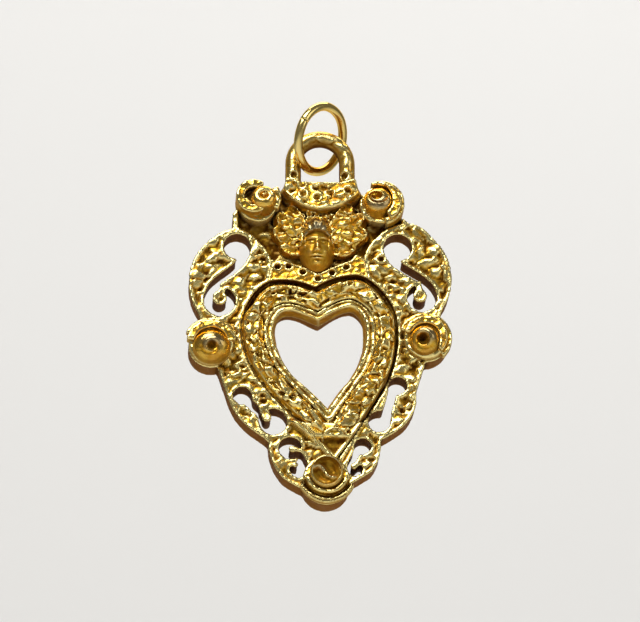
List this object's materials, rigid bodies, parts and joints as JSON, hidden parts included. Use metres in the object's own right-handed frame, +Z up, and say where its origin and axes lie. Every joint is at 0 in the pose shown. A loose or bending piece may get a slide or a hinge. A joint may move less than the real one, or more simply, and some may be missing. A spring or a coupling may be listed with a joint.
{
  "type": "milagro charm",
  "caption": "Gold-plated cast open-heart charm with pierced scrollwork, coiled roses and a winged head, on a wire jump ring for a chain.",
  "frame": {"origin": "centre of the jump ring, where the chain holds the charm", "axes": "Z up along the hanging charm, front towards -Y, X to the viewer's right"},
  "size_m": [0.0202, 0.0048, 0.0324],
  "materials": {
    "ring_wire": "smooth gold-plated round wire",
    "plate_gold": "hammered gold plate with dark patina in the recesses",
    "heart_gold": "hammered gold plate, worn bright on the raised edges",
    "figure_gold": "softly cast gold plate with dark patina in the recesses",
    "rose_gold_plate": "burnished gold plate with dark hollows"
  },
  "bodies": {
    "jump_ring": {"jump_ring": "ring_wire"},
    "charm": {"pierced_plate": "plate_gold", "hanger": "plate_gold", "heart_band": "heart_gold", "heart_rim": "heart_gold", "punched_collar": "heart_gold", "cherub_head": "figure_gold", "wing_left": "figure_gold", "wing_right": "figure_gold", "rose_top_left_petals": "rose_gold_plate", "rose_top_left_bud": "rose_gold_plate", "rose_top_right_petals": "rose_gold_plate", "rose_top_right_bud": "rose_gold_plate", "rose_side_left_petals": "rose_gold_plate", "rose_side_left_bud": "rose_gold_plate", "rose_side_right_petals": "rose_gold_plate", "rose_side_right_bud": "rose_gold_plate", "rose_base_petals": "rose_gold_plate", "rose_base_bud": "rose_gold_plate"}
  },
  "joints": [
    {"name": "charm_swing", "type": "hinge", "parent": "jump_ring", "child": "charm", "pos_m": [0, 0, 0], "axis": [0.7103, -0.596, -0.3746], "range_deg": [-90, 90]}
  ]
}
